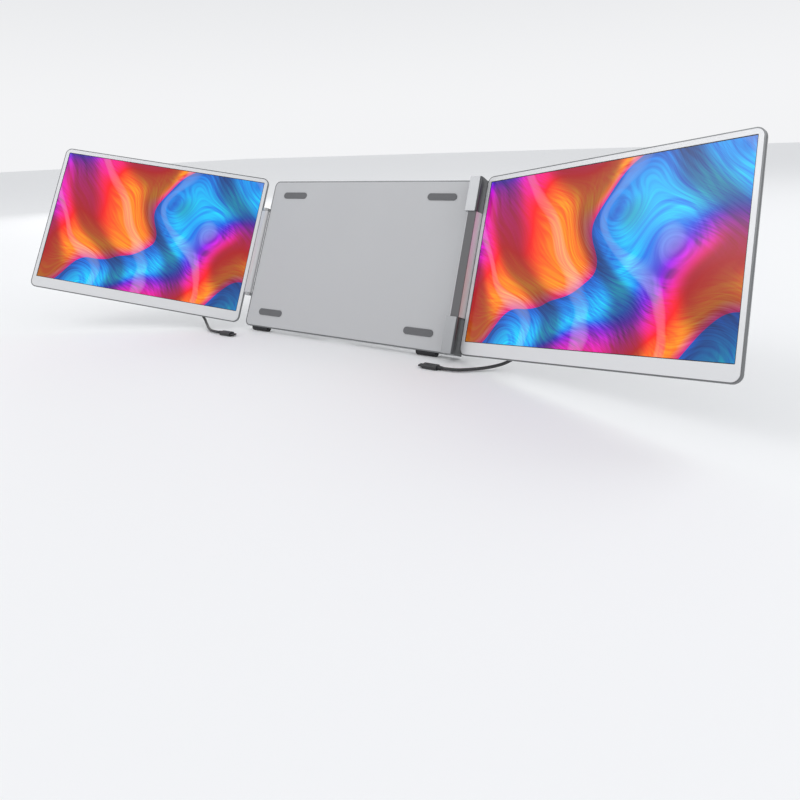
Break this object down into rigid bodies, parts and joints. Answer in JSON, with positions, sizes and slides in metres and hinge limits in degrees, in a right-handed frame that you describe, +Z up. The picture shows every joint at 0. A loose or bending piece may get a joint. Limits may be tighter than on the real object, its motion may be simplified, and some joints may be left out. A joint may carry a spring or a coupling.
{
  "type": "laptop screen extender",
  "caption": "Screen extender for a laptop: a leaning centre housing with a folding rear leg and a hinged flat monitor on each side, each with a port pocket, cable and push buttons.",
  "frame": {"origin": "on the desk, under the middle of the box of the object without its cables and plugs", "axes": "+X to the right of the person at the laptop, along the row of screens; +Y away from that person; +Z up"},
  "size_m": [1.0524, 0.303, 0.2909],
  "materials": {
    "arm_metal": "darker anodised aluminium",
    "bezel_silver": "pale silver satin plastic frame",
    "black_plastic": "matt black plastic",
    "block_metal": "satin anodised aluminium",
    "board": "green circuit board with small parts",
    "button_metal": "satin anodised aluminium",
    "cable_black": "matt black cable jacket",
    "front_panel": "light grey satin plastic plate",
    "kick_metal": "brushed and anodised aluminium",
    "magnet": "nickel-plated magnet",
    "rubber_black": "matt black rubber",
    "satin_silver": "fine bead-blasted satin anodised aluminium",
    "screen": null,
    "sheet_metal": "plain rolled aluminium sheet",
    "silicone_grey": "matt grey silicone",
    "steel": "plain steel, brushed"
  },
  "bodies": {
    "housing": {"housing_shell": "satin_silver", "housing_front_plate": "front_panel", "stiffener_plate": "steel", "front_pads": "silicone_grey", "left_rubber_foot": "rubber_black", "right_rubber_foot": "rubber_black", "right_lower_hinge_block": "block_metal", "right_upper_hinge_block": "block_metal", "right_hinge_pin": "steel", "left_hinge_carrier": "block_metal", "left_hinge_pin": "steel", "kickstand_bracket": "kick_metal", "kickstand_pin": "steel", "kickstand_magnet": "magnet", "rear_screw_cap": "silicone_grey", "left_laptop_plug": "black_plastic", "right_laptop_plug": "black_plastic", "left_cable": "cable_black", "right_cable": "cable_black"},
    "left_monitor": {"left_rear_shell": "satin_silver", "left_front_bezel": "bezel_silver", "left_display_panel": "screen", "left_panel_backplate": "sheet_metal", "left_main_board": "board", "left_port_shells": "steel", "left_speaker": "black_plastic", "left_button_board": "board", "left_hinge_bracket": "steel", "left_hinge_screws": "steel", "left_hinge_arm": "arm_metal", "left_monitor_plug": "black_plastic"},
    "right_monitor": {"right_rear_shell": "satin_silver", "right_front_bezel": "bezel_silver", "right_display_panel": "screen", "right_panel_backplate": "sheet_metal", "right_main_board": "board", "right_port_shells": "steel", "right_speaker": "black_plastic", "right_button_board": "board", "right_hinge_bracket": "steel", "right_hinge_screws": "steel", "right_hinge_arm": "arm_metal", "right_monitor_plug": "black_plastic"},
    "kickstand": {"kickstand_leg": "kick_metal", "kickstand_foot": "rubber_black"},
    "left_button_1": {"left_button_1": "button_metal"},
    "left_button_2": {"left_button_2": "button_metal"},
    "left_button_3": {"left_button_3": "button_metal"},
    "right_button_1": {"right_button_1": "button_metal"},
    "right_button_2": {"right_button_2": "button_metal"},
    "right_button_3": {"right_button_3": "button_metal"}
  },
  "joints": [
    {"name": "left_monitor_hinge", "type": "hinge", "parent": "housing", "child": "left_monitor", "pos_m": [-0.19597, 0.03905, 0.11656], "axis": [0, 0.4067, 0.9135], "range_deg": [-26, 154], "deforming": ["left_cable"]},
    {"name": "right_monitor_hinge", "type": "hinge", "parent": "housing", "child": "right_monitor", "pos_m": [0.17903, 0.03243, 0.11951], "axis": [0, -0.4067, -0.9135], "range_deg": [-21, 159], "deforming": ["right_cable"]},
    {"name": "kickstand_hinge", "type": "hinge", "parent": "housing", "child": "kickstand", "pos_m": [-0.00922, 0.08091, 0.18549], "axis": [1, 0, 0], "range_deg": [-44.5, 44.5]},
    {"name": "left_button_1_press", "type": "slide", "parent": "left_monitor", "child": "left_button_1", "axis": [0, -0.4067, -0.9135], "range_m": [0, 0.0006], "stiffness_N_per_m": 1500, "springref_m": -0.0004},
    {"name": "left_button_2_press", "type": "slide", "parent": "left_monitor", "child": "left_button_2", "axis": [0, -0.4067, -0.9135], "range_m": [0, 0.0006], "stiffness_N_per_m": 1500, "springref_m": -0.0004},
    {"name": "left_button_3_press", "type": "slide", "parent": "left_monitor", "child": "left_button_3", "axis": [0, -0.4067, -0.9135], "range_m": [0, 0.0006], "stiffness_N_per_m": 1500, "springref_m": -0.0004},
    {"name": "right_button_1_press", "type": "slide", "parent": "right_monitor", "child": "right_button_1", "axis": [0, -0.4067, -0.9135], "range_m": [0, 0.0006], "stiffness_N_per_m": 1500, "springref_m": -0.0004},
    {"name": "right_button_2_press", "type": "slide", "parent": "right_monitor", "child": "right_button_2", "axis": [0, -0.4067, -0.9135], "range_m": [0, 0.0006], "stiffness_N_per_m": 1500, "springref_m": -0.0004},
    {"name": "right_button_3_press", "type": "slide", "parent": "right_monitor", "child": "right_button_3", "axis": [0, -0.4067, -0.9135], "range_m": [0, 0.0006], "stiffness_N_per_m": 1500, "springref_m": -0.0004}
  ]
}
